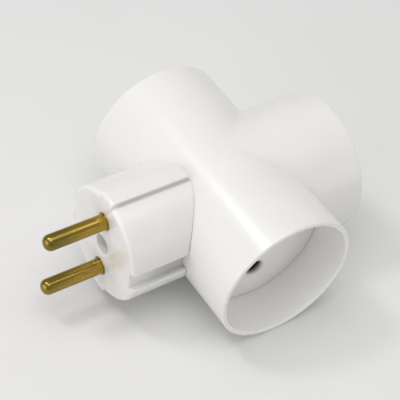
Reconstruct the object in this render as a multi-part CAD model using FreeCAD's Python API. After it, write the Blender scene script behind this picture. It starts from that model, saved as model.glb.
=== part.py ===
import FreeCAD, Part
import os

# Plug adapter with three outlets: a T of three round barrels, a round two-pin plug at its back.
# Millimetres. The origin is the centre of the plug's face, between the pins.
# +X runs along the plug's axis towards the front outlet, +Y to the left outlet, +Z up.
# The pins stand one above the other, so every pin hole is in the plane of the plug's axis.

# Barrels and their recesses
barrel_radius = 22.0
barrel_wall = 1.5
plug_reach = 40.0
side_reach = 36.0
front_reach = 37.3
side_floor_inset = 1.0
front_floor_gap = 0.3
rim_round = 0.6
ledge_width = 2.0

# Pins and pin holes, to the usual two-pin pattern
pin_radius = 2.4
pin_length = 19.0
pin_spacing = 19.0
pin_tip_round = 2.0
hole_clearance = 0.35
hole_countersink = 0.7

# Outlet floors, one pushed into each barrel
floor_thickness = 2.5
floor_edge_chamfer = 0.4
bead_height = 0.35
guide_wall = 1.15
side_guide_length = 7.0
front_guide_length = 4.5
floor_key_width = 3.0
floor_key_length = 1.2

# Plug base
plug_radius = 17.5
face_round = 1.2
rib_width = 5.8
rib_height = 1.6
rib_length = 25.2
side_recess_width = 6.4
side_recess_depth = 2.4
plate_thickness = 8.0
spigot_inset = 0.3
spigot_wall = 1.6
spigot_end = -12.0
pillar_radius = 5.0
pillar_end = -13.0
pillar_web = 4.0

# Pin shanks inside the plug base
shank_radius = 2.75
collar_radius = 3.5
collar_thickness = 1.5
stem_radius = 2.0
stem_length = 5.5
tail_radius = 1.4
tail_head_radius = 2.3
tail_head_height = 0.9
washer_thickness = 0.5
washer_radius = 2.9

# Contacts: six equal folded sleeves
contact_bore = 2.5
contact_sheet = 0.6
contact_length = 8.0
contact_gap = 2.2
contact_flare = 0.5
ear_reach = 7.2

# Pole strips and rivets
strip_thickness = 1.0
strip_margin = 0.3
strip_tail_width = 6.0
tab_radius = 3.2
rivet_radius = 0.8
rivet_head_radius = 1.4
rivet_head_height = 0.6

# Barrier between the poles and the boss that it slides on
boss_radius = 3.6
barrier_key_inset = 3.4
barrier_key_half_height = 2.5
barrier_key_half_width = 1.5
barrier_key_length = 2.0
strip_fence_height = 1.0
strip_fence_width = 0.9

# Screw that draws the plug base onto the housing
screw_radius = 1.4
screw_length = 20.0
screw_head_radius = 2.8
screw_head_height = 2.0
screw_slot_width = 0.7
screw_slot_depth = 1.2
screw_slot_length = 3.4
screw_hole_spare = 2.0

# Clearances, how far a cutter overruns its face, and how near an edge lies when it is picked
fit_gap = 0.1
thread_gap = 0.05
pin_fit_gap = 0.05
side_gap = 0.3
overrun = 1.0
pick_reach = 0.05

# Sizes that follow from those above, along an axis from the crossing of the barrels
pin_offset = pin_spacing / 2
recess_radius = barrel_radius - barrel_wall
core_radius = recess_radius - ledge_width
hole_radius = pin_radius + hole_clearance
insert_radius = recess_radius - fit_gap
spigot_radius = plug_radius - side_recess_depth - spigot_inset
hollow_radius = spigot_radius - spigot_wall
contact_radius = contact_bore + contact_sheet
strip_top = pin_offset - contact_radius
barrier_half = strip_top - strip_thickness
front_ledge = recess_radius + front_floor_gap
side_ledge = recess_radius - side_floor_inset
front_contact_mouth = front_ledge - front_guide_length - side_gap
side_contact_mouth = side_ledge - side_guide_length - side_gap
barrier_half_width = side_contact_mouth + side_gap - fit_gap
barrier_key_offset = barrier_half_width - barrier_key_inset
plate_inside = plate_thickness - plug_reach
tab_position = plate_inside + collar_thickness + stem_length
screw_seat = pillar_end - pillar_web
contact_half_width = contact_radius + strip_margin
ear_middle = (contact_radius + ear_reach) / 2

AXIS_X = FreeCAD.Vector(1, 0, 0)
AXIS_Y = FreeCAD.Vector(0, 1, 0)
AXIS_Z = FreeCAD.Vector(0, 0, 1)
CROSSING = FreeCAD.Vector(plug_reach, 0, 0)
ORIGIN = FreeCAD.Vector(0, 0, 0)
FACINGS = {"front": 0, "left": 90, "right": -90}
POLES = {"upper": 1, "lower": -1}


def rod(radius, start, end, y=0.0, z=0.0):
    """A cylinder along X from start to end."""
    return Part.makeCylinder(radius, end - start, FreeCAD.Vector(start, y, z), AXIS_X)


def block(x0, x1, y0, y1, z0, z1):
    """A box between two corners."""
    return Part.makeBox(x1 - x0, y1 - y0, z1 - z0, FreeCAD.Vector(x0, y0, z0))


def turned(points):
    """A solid turned about the X axis from an outline of (x, radius) points."""
    outline = [FreeCAD.Vector(x, 0, radius) for x, radius in points]
    face = Part.Face(Part.makePolygon(outline + outline[:1]))
    return face.revolve(ORIGIN, AXIS_X, 360)


def moved(shape, x=0.0, y=0.0, z=0.0):
    copy = shape.copy()
    copy.translate(FreeCAD.Vector(x, y, z))
    return copy


def facing(shape, side):
    """Turn a shape built for the front outlet so that it faces the left or right one."""
    copy = shape.copy()
    copy.rotate(ORIGIN, AXIS_Z, FACINGS[side])
    return copy


def below(shape):
    """The same shape for the lower pole."""
    return shape.mirror(ORIGIN, AXIS_Z)


def edges_where(shape, test):
    """The edges whose every end point and middle point passes a test."""
    chosen = []
    for edge in shape.Edges:
        middle = edge.valueAt((edge.FirstParameter + edge.LastParameter) / 2)
        points = [vertex.Point for vertex in edge.Vertexes] + [middle]
        if all(test(point) for point in points):
            chosen.append(edge)
    return chosen


def outer_barrels():
    """The outside of the T: one barrel from side to side and one to the front."""
    across = Part.makeCylinder(barrel_radius, 2 * side_reach, FreeCAD.Vector(0, -side_reach, 0), AXIS_Y)
    forward = rod(barrel_radius, 0, front_reach)
    return across.fuse(forward).removeSplitter()


def recess_space(reach, ledge):
    """What is cut out of a barrel from its rim to the ledge under its floor, with the bead's groove."""
    bead_middle = ledge + floor_thickness / 2
    return turned([
        (ledge, 0),
        (ledge, recess_radius),
        (bead_middle - bead_height - fit_gap, recess_radius),
        (bead_middle, recess_radius + bead_height),
        (bead_middle + bead_height + fit_gap, recess_radius),
        (reach + overrun, recess_radius),
        (reach + overrun, 0),
    ])


def key_notch(ledge):
    """A notch low in the ledge that stops an outlet floor from turning."""
    half = floor_key_width / 2 + fit_gap
    depth = floor_key_length + fit_gap
    return below(block(ledge - depth, ledge, -half, half, core_radius - overrun, recess_radius))


def housing():
    """One moulding: barrels with thin rims, thicker round the core, open at the back for the plug."""
    body = outer_barrels()
    spaces = [
        facing(recess_space(side_reach, side_ledge), "left"),
        facing(recess_space(side_reach, side_ledge), "right"),
        recess_space(front_reach, front_ledge),
        facing(key_notch(side_ledge), "left"),
        facing(key_notch(side_ledge), "right"),
        key_notch(front_ledge),
        Part.makeCylinder(core_radius, 2 * side_ledge, FreeCAD.Vector(0, -side_ledge, 0), AXIS_Y),
        rod(core_radius, 0, front_ledge),
        rod(spigot_radius + fit_gap, -barrel_radius - overrun, 0),
    ]
    for space in spaces:
        body = body.cut(space)
    return rounded_rims(body)


def rounded_rims(body):
    """Soften the inner and outer edge of each mouth."""
    at_side = edges_where(body, lambda p: abs(abs(p.y) - side_reach) < pick_reach)
    at_front = edges_where(body, lambda p: abs(p.x - front_reach) < pick_reach)
    return body.makeFillet(rim_round, at_side + at_front)


def outlet_floor(ledge, contact_mouth):
    """A disc with two countersunk pin holes, guide tubes behind them, a snap bead and a key."""
    face = ledge + floor_thickness
    bead_middle = ledge + floor_thickness / 2
    disc = turned([
        (ledge, 0),
        (ledge, insert_radius),
        (bead_middle - bead_height, insert_radius),
        (bead_middle, insert_radius + bead_height),
        (bead_middle + bead_height, insert_radius),
        (face - floor_edge_chamfer, insert_radius),
        (face, insert_radius - floor_edge_chamfer),
        (face, 0),
    ])
    key_bottom = core_radius + fit_gap
    half_key = floor_key_width / 2
    key = block(ledge - floor_key_length, ledge, -half_key, half_key, key_bottom, insert_radius - fit_gap)
    disc = disc.fuse(below(key))
    guide_end = contact_mouth + side_gap
    for pole in POLES.values():
        height = pole * pin_offset
        disc = disc.fuse(rod(hole_radius + guide_wall, guide_end, ledge, 0, height))
    for pole in POLES.values():
        height = pole * pin_offset
        disc = disc.cut(rod(hole_radius, guide_end - overrun, face + overrun, 0, height))
        disc = disc.cut(countersink(face, height))
    return disc.removeSplitter()


def countersink(face, height):
    wide = hole_radius + hole_countersink
    start = FreeCAD.Vector(face - hole_countersink, 0, height)
    return Part.makeCone(hole_radius, wide, hole_countersink, start, AXIS_X)


def front_floor():
    """The front floor also carries the long screw boss and the pegs that key the barrier."""
    floor = outlet_floor(front_ledge, front_contact_mouth)
    floor = floor.fuse(rod(boss_radius, pillar_end, front_ledge))
    for side in (-1, 1):
        floor = floor.fuse(barrier_peg(side, 0.0))
    pilot = rod(screw_radius + thread_gap, pillar_end, pillar_end + screw_length - pillar_web + screw_hole_spare)
    return floor.cut(pilot).removeSplitter()


def barrier_peg(side, gap):
    """A square peg behind the front floor, or with a gap the notch in the barrier for it."""
    middle = side * barrier_key_offset
    half_width = barrier_key_half_width + gap
    half_height = barrier_key_half_height + gap
    back = front_ledge - barrier_key_length - gap
    return block(back, front_ledge, middle - half_width, middle + half_width, -half_height, half_height)


def side_recess(side):
    """The wider flat-floored recess at one side of the plug, from the face to the barrel."""
    half = side_recess_width / 2
    y0, y1 = sorted((side * (plug_radius - side_recess_depth), side * (plug_radius + overrun)))
    return block(-plug_reach - overrun, 0, y0, y1, -half, half)


def plug_round(radius):
    """A cylinder as long as the plug, rounded at the edge of its face."""
    body = rod(radius, -plug_reach, 0)
    face_edge = edges_where(body, lambda p: abs(p.x + plug_reach) < pick_reach)
    return body.makeFillet(face_round, face_edge)


def finger_rib():
    """The raised rib on top of the plug, in line with the pins, from the face almost to the barrel."""
    half = rib_width / 2
    top = plug_radius + rib_height
    strip = block(-plug_reach, rib_length - plug_reach, -half, half, spigot_radius, top)
    return strip.common(plug_round(top))


def plug_base():
    """The round plug body, saddled onto the barrel, with a hollow spigot that enters the housing."""
    rib = finger_rib()
    body = plug_round(plug_radius).fuse(rib).fuse(below(rib))
    for side in (-1, 1):
        body = body.cut(side_recess(side))
    saddle = Part.makeCylinder(barrel_radius + fit_gap, 2 * side_reach, FreeCAD.Vector(0, -side_reach, 0), AXIS_Y)
    body = body.cut(saddle)
    body = body.fuse(rod(spigot_radius, plate_inside, spigot_end))
    body = body.cut(rod(hollow_radius, plate_inside, spigot_end))
    body = body.fuse(rod(pillar_radius, plate_inside, pillar_end))
    body = body.cut(rod(screw_head_radius + side_gap, -plug_reach, screw_seat))
    body = body.cut(rod(screw_radius + side_gap, screw_seat, pillar_end))
    for pole in POLES.values():
        height = pole * pin_offset
        body = body.cut(rod(shank_radius + pin_fit_gap, -plug_reach, plate_inside, 0, height))
    return body.removeSplitter()


def plug_pin():
    """A turned pin: rounded tip, shank in the plate, collar behind it, riveted tail through the strip."""
    tip = -plug_reach - pin_length
    collar_end = plate_inside + collar_thickness
    washer_end = tab_position + strip_thickness + washer_thickness
    prong = rod(pin_radius, tip, -plug_reach)
    tip_edge = edges_where(prong, lambda p: abs(p.x - tip) < pick_reach)
    pin = prong.makeFillet(pin_tip_round, tip_edge)
    pin = pin.fuse(rod(shank_radius, -plug_reach, plate_inside))
    pin = pin.fuse(rod(collar_radius, plate_inside, collar_end))
    pin = pin.fuse(rod(stem_radius, collar_end, tab_position))
    pin = pin.fuse(rod(tail_radius, tab_position, washer_end))
    head = Part.makeCone(tail_head_radius, tail_radius, tail_head_height,
                         FreeCAD.Vector(washer_end, 0, 0), AXIS_X)
    return moved(pin.fuse(head).removeSplitter(), z=pin_offset)


def pin_washer():
    start = tab_position + strip_thickness
    end = start + washer_thickness
    washer = rod(washer_radius, start, end).cut(rod(tail_radius + pin_fit_gap, start, end))
    return moved(washer, z=pin_offset)


def contact_sleeve(mouth, ear_side):
    """A sheet folded round the pin's path, slit on top, with an ear at its foot for the rivet."""
    back = mouth - contact_length
    sleeve = rod(contact_radius, back, mouth)
    ear_edge = ear_side * ear_reach
    foot = block(back, mouth, min(0, ear_edge), max(0, ear_edge), -contact_radius, -contact_bore)
    sleeve = sleeve.fuse(foot).cut(rod(contact_bore, back, mouth))
    slit = block(back, mouth, -contact_gap / 2, contact_gap / 2, 0, contact_radius + overrun)
    sleeve = sleeve.cut(slit)
    lead_in = Part.makeCone(contact_bore, contact_bore + contact_flare, contact_flare,
                            FreeCAD.Vector(mouth - contact_flare, 0, 0), AXIS_X)
    sleeve = sleeve.cut(lead_in)
    hole = Part.makeCylinder(rivet_radius + pin_fit_gap, contact_radius,
                             FreeCAD.Vector(mouth - contact_length / 2, ear_side * ear_middle, -contact_radius),
                             AXIS_Z)
    return moved(sleeve.cut(hole).removeSplitter(), z=pin_offset)


def contact_places():
    """Each upper contact's side, the place of its mouth and the side of its ear."""
    return [
        ("left", side_contact_mouth, 1),
        ("right", side_contact_mouth, -1),
        ("front", front_contact_mouth, 1),
    ]


def rivet_spots():
    """The middle of each rivet in the plane of the strips."""
    spots = []
    for side, mouth, ear_side in contact_places():
        spot = Part.Vertex(mouth - contact_length / 2, ear_side * ear_middle, 0)
        spots.append(facing(spot, side).Point)
    return spots


def pole_strip():
    """One stamping: a bar across, an arm to the front, a tail to the plug, and a tab turned up for the pin."""
    across = block(-ear_reach, contact_half_width, -side_contact_mouth, side_contact_mouth, barrier_half, strip_top)
    forward = block(0, front_contact_mouth, -contact_half_width, ear_reach, barrier_half, strip_top)
    half_tail = strip_tail_width / 2
    tail = block(tab_position, 0, -half_tail, half_tail, barrier_half, strip_top)
    tab_end = tab_position + strip_thickness
    tab = block(tab_position, tab_end, -half_tail, half_tail, barrier_half, pin_offset)
    tab = tab.fuse(rod(tab_radius, tab_position, tab_end, 0, pin_offset))
    strip = across.fuse(forward).fuse(tail).fuse(tab)
    strip = strip.cut(rod(tail_radius + pin_fit_gap, tab_position, tab_end, 0, pin_offset))
    for spot in rivet_spots():
        base = FreeCAD.Vector(spot.x, spot.y, barrier_half)
        strip = strip.cut(Part.makeCylinder(rivet_radius + pin_fit_gap, strip_thickness, base, AXIS_Z))
    return strip.removeSplitter()


def rivet(spot):
    """A rivet with a head above the contact's ear and one set in the barrier."""
    ear_top = strip_top + contact_sheet
    low = FreeCAD.Vector(spot.x, spot.y, barrier_half - rivet_head_height)
    high = FreeCAD.Vector(spot.x, spot.y, ear_top)
    foot = Part.makeCylinder(rivet_head_radius, rivet_head_height, low, AXIS_Z)
    shank = Part.makeCylinder(rivet_radius, ear_top - low.z, low, AXIS_Z)
    head = Part.makeCone(rivet_head_radius, rivet_radius, rivet_head_height, high, AXIS_Z)
    return foot.fuse(shank).fuse(head).removeSplitter()


def rivets():
    return Part.makeCompound([rivet(spot) for spot in rivet_spots()])


def strip_fences():
    """Low fences on the barrier's face that keep the bar across from sliding along the plug's axis."""
    low = barrier_half
    high = barrier_half + strip_fence_height
    behind = -ear_reach - fit_gap
    ahead = contact_half_width + fit_gap
    inner = strip_tail_width / 2 + strip_fence_width
    outer = barrier_half_width
    ahead_inner = ear_reach + strip_fence_width
    fences = []
    for side in (-1, 1):
        y0, y1 = sorted((side * inner, side * outer))
        fences.append(block(behind - strip_fence_width, behind, y0, y1, low, high))
        y0, y1 = sorted((side * ahead_inner, side * outer))
        fences.append(block(ahead, ahead + strip_fence_width, y0, y1, low, high))
    return fences


def barrier():
    """The insulating block between the two poles, on the boss of the front floor."""
    body = block(spigot_end, front_ledge, -barrier_half_width, barrier_half_width, -barrier_half, barrier_half)
    for fence in strip_fences():
        body = body.fuse(fence).fuse(below(fence))
    body = body.cut(rod(boss_radius + fit_gap, spigot_end, front_ledge))
    for side in (-1, 1):
        body = body.cut(barrier_peg(side, fit_gap))
    for spot in rivet_spots():
        depth = rivet_head_height + fit_gap
        base = FreeCAD.Vector(spot.x, spot.y, barrier_half - depth)
        pocket = Part.makeCylinder(rivet_head_radius + fit_gap, depth, base, AXIS_Z)
        body = body.cut(pocket).cut(below(pocket))
    return body.removeSplitter()


def base_screw():
    """A pan-head screw with a cross slot, deep between the pins, from the plug base into the boss."""
    head_start = screw_seat - screw_head_height
    head = rod(screw_head_radius, head_start, screw_seat)
    rim = edges_where(head, lambda p: abs(p.x - head_start) < pick_reach)
    head = head.makeFillet(screw_head_height / 2, rim)
    screw = head.fuse(rod(screw_radius, screw_seat, screw_seat + screw_length))
    half_length = screw_slot_length / 2
    half_width = screw_slot_width / 2
    slot_end = head_start + screw_slot_depth
    for half_y, half_z in ((half_length, half_width), (half_width, half_length)):
        screw = screw.cut(block(head_start, slot_end, -half_y, half_y, -half_z, half_z))
    return screw.removeSplitter()


def mirrored_poles(name, upper):
    """The upper piece and its mirror image below, under their own names."""
    return {name.format("upper"): upper, name.format("lower"): below(upper)}


def pieces():
    """Every piece by name, in the frame of the crossing."""
    made = {
        "housing": housing(),
        "plug_base": plug_base(),
        "outlet_floor_front": front_floor(),
        "barrier": barrier(),
        "base_screw": base_screw(),
    }
    for side in ("left", "right"):
        made["outlet_floor_" + side] = facing(outlet_floor(side_ledge, side_contact_mouth), side)
    made.update(mirrored_poles("plug_pin_{}", plug_pin()))
    made.update(mirrored_poles("pin_washer_{}", pin_washer()))
    made.update(mirrored_poles("pole_strip_{}", pole_strip()))
    made.update(mirrored_poles("rivets_{}", rivets()))
    for side, mouth, ear_side in contact_places():
        sleeve = facing(contact_sleeve(mouth, ear_side), side)
        made.update(mirrored_poles("contact_{}_" + side, sleeve))
    return made


def main():
    os.makedirs("parts", exist_ok=True)
    for name, shape in pieces().items():
        placed = moved(shape, CROSSING.x, CROSSING.y, CROSSING.z)
        placed.exportStep("parts/" + name + ".step")
        print(name, len(placed.Solids), "valid" if placed.isValid() else "broken", round(placed.Volume, 1))


main()
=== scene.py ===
"""Looks of a plug adapter with three outlets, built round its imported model.

Metres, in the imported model's frame: the origin is the centre of the plug's face, +X runs to the
front outlet, +Y to the left one and +Z up. The barrels' axes cross at CROSSING.
"""

from __future__ import annotations

import logging
import math
from dataclasses import dataclass, field
from enum import Enum
from typing import Any, Callable, Iterable, Sequence, Union

import bmesh
import bpy
from bmesh.types import BMEdge, BMFace, BMVert
from mathutils import Matrix, Vector

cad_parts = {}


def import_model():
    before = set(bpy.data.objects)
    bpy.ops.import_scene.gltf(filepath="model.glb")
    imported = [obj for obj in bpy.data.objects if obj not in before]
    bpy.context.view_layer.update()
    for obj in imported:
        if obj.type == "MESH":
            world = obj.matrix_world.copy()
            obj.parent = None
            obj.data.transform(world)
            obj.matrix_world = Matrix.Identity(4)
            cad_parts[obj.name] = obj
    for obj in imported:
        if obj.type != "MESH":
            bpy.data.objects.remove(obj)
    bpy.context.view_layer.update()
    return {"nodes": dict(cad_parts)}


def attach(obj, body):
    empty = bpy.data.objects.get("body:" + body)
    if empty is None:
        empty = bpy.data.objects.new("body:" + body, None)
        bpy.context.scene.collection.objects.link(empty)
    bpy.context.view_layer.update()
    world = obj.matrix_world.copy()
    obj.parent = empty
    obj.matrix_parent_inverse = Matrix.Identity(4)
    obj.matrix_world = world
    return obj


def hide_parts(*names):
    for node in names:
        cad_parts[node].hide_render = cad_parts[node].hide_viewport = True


LOG = logging.getLogger("adapter")

MM = 0.001
CROSSING = Vector((40 * MM, 0, 0))
PIN_OFFSET = 9.5 * MM  # from the middle to each pin
ACROSS_X = Matrix(((0, 0, 1, 0), (1, 0, 0, 0), (0, 1, 0, 0), (0, 0, 0, 1)))  # XY stands across X
FINE = 192  # faces round a barrel or a disc
ROUND = 64  # faces round a hole
WELD = 1e-6  # points nearer than this are one
LOOSE = 1e-5  # how far a turned point may lie from its radius
SHARP = math.radians(32)  # a larger bend is a crisp edge
FLAT = 1  # marks a flat face until its mesh is closed

Colour = tuple[float, float, float]
Place = Callable[[Vector], Vector]


class Side(Enum):
    """An outlet, by the turn about Z that brings the front one to it."""

    FRONT = 0
    LEFT = 90
    RIGHT = -90

    @property
    def turn(self) -> Matrix:
        """From a barrel along X at the origin to its place on the adapter."""
        return Matrix.Translation(CROSSING) @ Matrix.Rotation(math.radians(self.value), 4, "Z")

    @property
    def mitred(self) -> tuple[int, ...]:
        """The signs of Y, before the turn, on which this barrel runs into another."""
        return {Side.FRONT: (-1, 1), Side.LEFT: (-1,), Side.RIGHT: (1,)}[self]

    @property
    def node(self) -> str:
        """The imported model's node for this outlet's floor."""
        return f"outlet_floor_{self.name.lower()}"


# How far from the crossing each outlet's floor is seated.
LEDGES = {Side.FRONT: 20.8 * MM, Side.LEFT: 19.5 * MM, Side.RIGHT: 19.5 * MM}


class Pole(Enum):
    """Upper or lower pin, with the sign of its height."""

    UPPER = 1
    LOWER = -1

    @property
    def height(self) -> float:
        """The height of its pin and of its pin holes."""
        return self.value * PIN_OFFSET


class Slot(Enum):
    """The record's material slot names for the new pieces; nothing here reads them."""

    HOUSING = "white_housing"
    BASE = "white_base"
    FLOOR = "white_floor"
    PIN = "pin_brass"


class Field:
    """A value that varies over a surface, with arithmetic that adds Math nodes."""

    def __init__(self, desk: NodeDesk, socket: bpy.types.NodeSocket) -> None:
        """Wrap an output socket.

        Args:
            desk: The desk that adds further nodes.
            socket: The output that carries the value.
        """
        self.desk = desk
        self.socket = socket

    def __add__(self, other: Operand) -> Field:
        """This value plus another."""
        return self.desk.maths("ADD", self, other)

    __radd__ = __add__

    def __sub__(self, other: Operand) -> Field:
        """This value less another."""
        return self.desk.maths("SUBTRACT", self, other)

    def __rsub__(self, other: Operand) -> Field:
        """Another value less this one."""
        return self.desk.maths("SUBTRACT", other, self)

    def __mul__(self, other: Operand) -> Field:
        """This value times another."""
        return self.desk.maths("MULTIPLY", self, other)

    __rmul__ = __mul__

    def __abs__(self) -> Field:
        """This value without its sign."""
        return self.desk.maths("ABSOLUTE", self)

    def most(self, other: Operand) -> Field:
        """The larger of this value and another."""
        return self.desk.maths("MAXIMUM", self, other)

    def between(self, low: float, high: float) -> Field:
        """A smooth step from 0 at low to 1 at high.

        Args:
            low: The value at which the step starts, which may be the larger.
            high: The value at which it ends.

        Returns:
            The step as a value from 0 to 1.
        """
        made = self.desk.node(
            "ShaderNodeMapRange",
            {"interpolation_type": "SMOOTHSTEP"},
            {"Value": self, "From Min": low, "From Max": high},
        )
        return Field(self.desk, made.outputs[0])


Operand = Union[Field, int, float]


class NodeDesk:
    """Where one material's nodes are added and joined."""

    def __init__(self, name: str) -> None:
        """Start a material with an output and nothing else.

        Args:
            name: The material's name.
        """
        self.material = bpy.data.materials.new(name)
        self.material.use_nodes = True
        self.tree = self.material.node_tree
        self.tree.nodes.clear()
        self.place = self.node("ShaderNodeTexCoord").outputs["Object"]

    def node(
        self,
        kind: str,
        settings: dict[str, Any] | None = None,
        feeds: dict[Any, Any] | None = None,
    ) -> bpy.types.Node:
        """Add a node.

        Args:
            kind: The node's type.
            settings: Its own settings, set first.
            feeds: What each input socket gets: a value, a Field or another socket.

        Returns:
            The new node.
        """
        made = self.tree.nodes.new(kind)
        for name, value in (settings or {}).items():
            setattr(made, name, value)
        for socket, value in (feeds or {}).items():
            value = value.socket if isinstance(value, Field) else value
            if isinstance(value, bpy.types.NodeSocket):
                self.tree.links.new(value, made.inputs[socket])
            else:
                made.inputs[socket].default_value = value
        return made

    def maths(self, operation: str, *operands: Operand) -> Field:
        """A Math node's result for one operand or more."""
        made = self.node("ShaderNodeMath", {"operation": operation}, dict(enumerate(operands)))
        return Field(self, made.outputs[0])

    def axes(self) -> tuple[Field, Field, Field]:
        """The place on the object along X, Y and Z, in metres."""
        parts = self.node("ShaderNodeSeparateXYZ", feeds={0: self.place}).outputs
        return Field(self, parts[0]), Field(self, parts[1]), Field(self, parts[2])

    def noise(self, grains: float, detail: float = 2.0, stretch: Colour = (1, 1, 1)) -> Field:
        """Soft noise on the object's own coordinates.

        Args:
            grains: Grains in a metre.
            detail: Octaves of finer noise.
            stretch: Scale along each axis, where less than 1 draws the grains out.

        Returns:
            The noise, from 0 to 1 and mostly near a half.
        """
        mapped = self.node("ShaderNodeMapping", feeds={"Vector": self.place, "Scale": stretch})
        feeds = {"Vector": mapped.outputs[0], "Scale": grains, "Detail": detail}
        return Field(self, self.node("ShaderNodeTexNoise", feeds=feeds).outputs[0])

    def blend(self, share: Field, first: Any, second: Any) -> bpy.types.NodeSocket:
        """Mix two colours.

        Args:
            share: The share of the second, from 0 to 1.
            first: A colour or a colour socket.
            second: The same.

        Returns:
            The mixed colour's socket.
        """
        first, second = [(*c, 1.0) if isinstance(c, tuple) else c for c in (first, second)]
        feeds = {0: share, 6: first, 7: second}
        return self.node("ShaderNodeMix", {"data_type": "RGBA"}, feeds).outputs[2]

    def bump(
        self, height: Field, depth: float, under: bpy.types.NodeSocket | None = None
    ) -> bpy.types.NodeSocket:
        """Turn a height into a normal.

        Args:
            height: The height, from 0 to 1.
            depth: What 1 is, in metres.
            under: A normal that this one is laid over.

        Returns:
            The normal's socket.
        """
        feeds = {"Height": height, "Distance": depth, "Strength": 1.0}
        if under is not None:
            feeds["Normal"] = under
        return self.node("ShaderNodeBump", feeds=feeds).outputs[0]

    def surface(self, **sockets: Any) -> bpy.types.Material:
        """Close the material with one shader.

        Args:
            **sockets: The shader's sockets, with _ for each space of their names.

        Returns:
            The finished material.
        """
        feeds = {name.replace("_", " "): value for name, value in sockets.items()}
        shader = self.node("ShaderNodeBsdfPrincipled", feeds=feeds)
        self.node("ShaderNodeOutputMaterial", feeds={"Surface": shader.outputs[0]})
        return self.material


@dataclass(frozen=True)
class GlossyMoulding:
    """White moulded plastic, glossy and a little warm, with faint waves, grain, scuffs and worn
    edges whose lighter tone is partly a painted highlight.
    """

    name: str
    clean: Colour = (0.83, 0.825, 0.812)
    aged: Colour = (0.80, 0.79, 0.765)
    specked: Colour = (0.66, 0.64, 0.59)
    worn_and_highlit_tone: Colour = (0.86, 0.855, 0.84)
    inner: Colour = (0.05, 0.045, 0.038)
    gloss: float = 0.21
    wave_depth: float = 0.007 * MM
    grain_depth: float = 0.0012 * MM
    scuff_depth: float = 0.0001 * MM

    def made(
        self,
        worn: Callable[[NodeDesk], Field] | None = None,
        painted_light_mask: Callable[[NodeDesk], Field] | None = None,
    ) -> bpy.types.Material:
        """Build the material.

        Args:
            worn: Where the edges wear, from 0 to 1, for a piece that has such places. Their lighter
                tone is partly a painted edge highlight.
            painted_light_mask: Where the inner tone takes over, from 0 to 1: light or shade painted
                into outlets and holes.

        Returns:
            The finished material.
        """
        desk = NodeDesk(self.name)
        clouds = desk.noise(45, 3)
        drift = desk.noise(14, 2, (1.0, 0.45, 1.6))
        grain = desk.noise(5200, 2)
        waves = desk.noise(330, 1)
        scuffs = desk.noise(900, 3, (0.12, 1.0, 0.8)).between(0.64, 0.84)
        specks = desk.noise(2600, 0).between(0.84, 0.90)
        rubbed_and_highlit = worn(desk) if worn else desk.noise(60, 1).between(0.9, 1.0)
        tone = desk.blend(clouds.between(0.38, 0.66) * 0.55, self.clean, self.aged)
        tone = desk.blend(specks * 0.22, tone, self.specked)
        # Lighter tone on worn edges: wear, and a painted edge highlight.
        tone = desk.blend(rubbed_and_highlit * 0.10, tone, self.worn_and_highlit_tone)
        # The inner tone paints light or shade into outlets, recesses and holes.
        if painted_light_mask:
            tone = desk.blend(painted_light_mask(desk), tone, self.inner)
        rough = self.gloss + clouds * 0.05 + drift.between(0.3, 0.7) * 0.04
        rough = rough + scuffs * 0.02 + rubbed_and_highlit * 0.04
        skin = desk.bump(waves, self.wave_depth)
        skin = desk.bump(grain, self.grain_depth, skin)
        skin = desk.bump(scuffs, self.scuff_depth, skin)
        return desk.surface(
            Base_Color=tone,
            Roughness=rough,
            Normal=skin,
            IOR=1.52,
            Subsurface_Weight=0.12,
            Subsurface_Radius=(1.0, 0.92, 0.80),
            Subsurface_Scale=0.9 * MM,
            Coat_Weight=0.10,
            Coat_Roughness=0.16,
        )


@dataclass(frozen=True)
class TurnedBrass:
    """Brass turned on a lathe along X: fine rings, scratches along it, tarnish stains, and darker
    towards the tip.
    """

    name: str
    bright: Colour = (0.44, 0.29, 0.055)
    deep: Colour = (0.30, 0.20, 0.035)
    tarnish: Colour = (0.15, 0.13, 0.03)
    scratched: Colour = (0.55, 0.37, 0.11)
    tip_dark_start: float = -6 * MM
    tip_dark_full: float = -17 * MM
    ring_pitch: float = 0.12 * MM
    ring_depth: float = 0.0002 * MM
    scratch_depth: float = 0.0005 * MM

    def made(self) -> bpy.types.Material:
        """Build the material."""
        desk = NodeDesk(self.name)
        along = desk.axes()[0]
        wander = desk.noise(700, 2, (1.0, 0.1, 0.1))
        rings = desk.maths("SINE", along * (2 * math.pi / self.ring_pitch) + wander * 9)
        rings = rings * 0.5 + 0.5
        bands = desk.noise(500, 2, (1.0, 0.04, 0.04))
        clouds = desk.noise(240, 4)
        stains = desk.noise(130, 3, (0.5, 1.0, 1.0)).between(0.42, 0.72)
        scratches = desk.noise(2400, 2, (0.04, 1.0, 1.0)).between(0.62, 0.74)
        tone = desk.blend(clouds.between(0.30, 0.72) * 0.40, self.bright, self.deep)
        # Stains, and a darker tone towards the tip.
        dulled = stains * 0.4 + along.between(self.tip_dark_start, self.tip_dark_full) * 0.45
        tone = desk.blend(dulled, tone, self.tarnish)
        tone = desk.blend(scratches * 0.08, tone, self.scratched)
        rough = 0.17 + bands * 0.05 + stains * 0.08 + scratches * 0.02
        skin = desk.bump(rings, self.ring_depth)
        skin = desk.bump(scratches, self.scratch_depth, skin)
        return desk.surface(Base_Color=tone, Metallic=1.0, Roughness=rough, Normal=skin)


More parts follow.
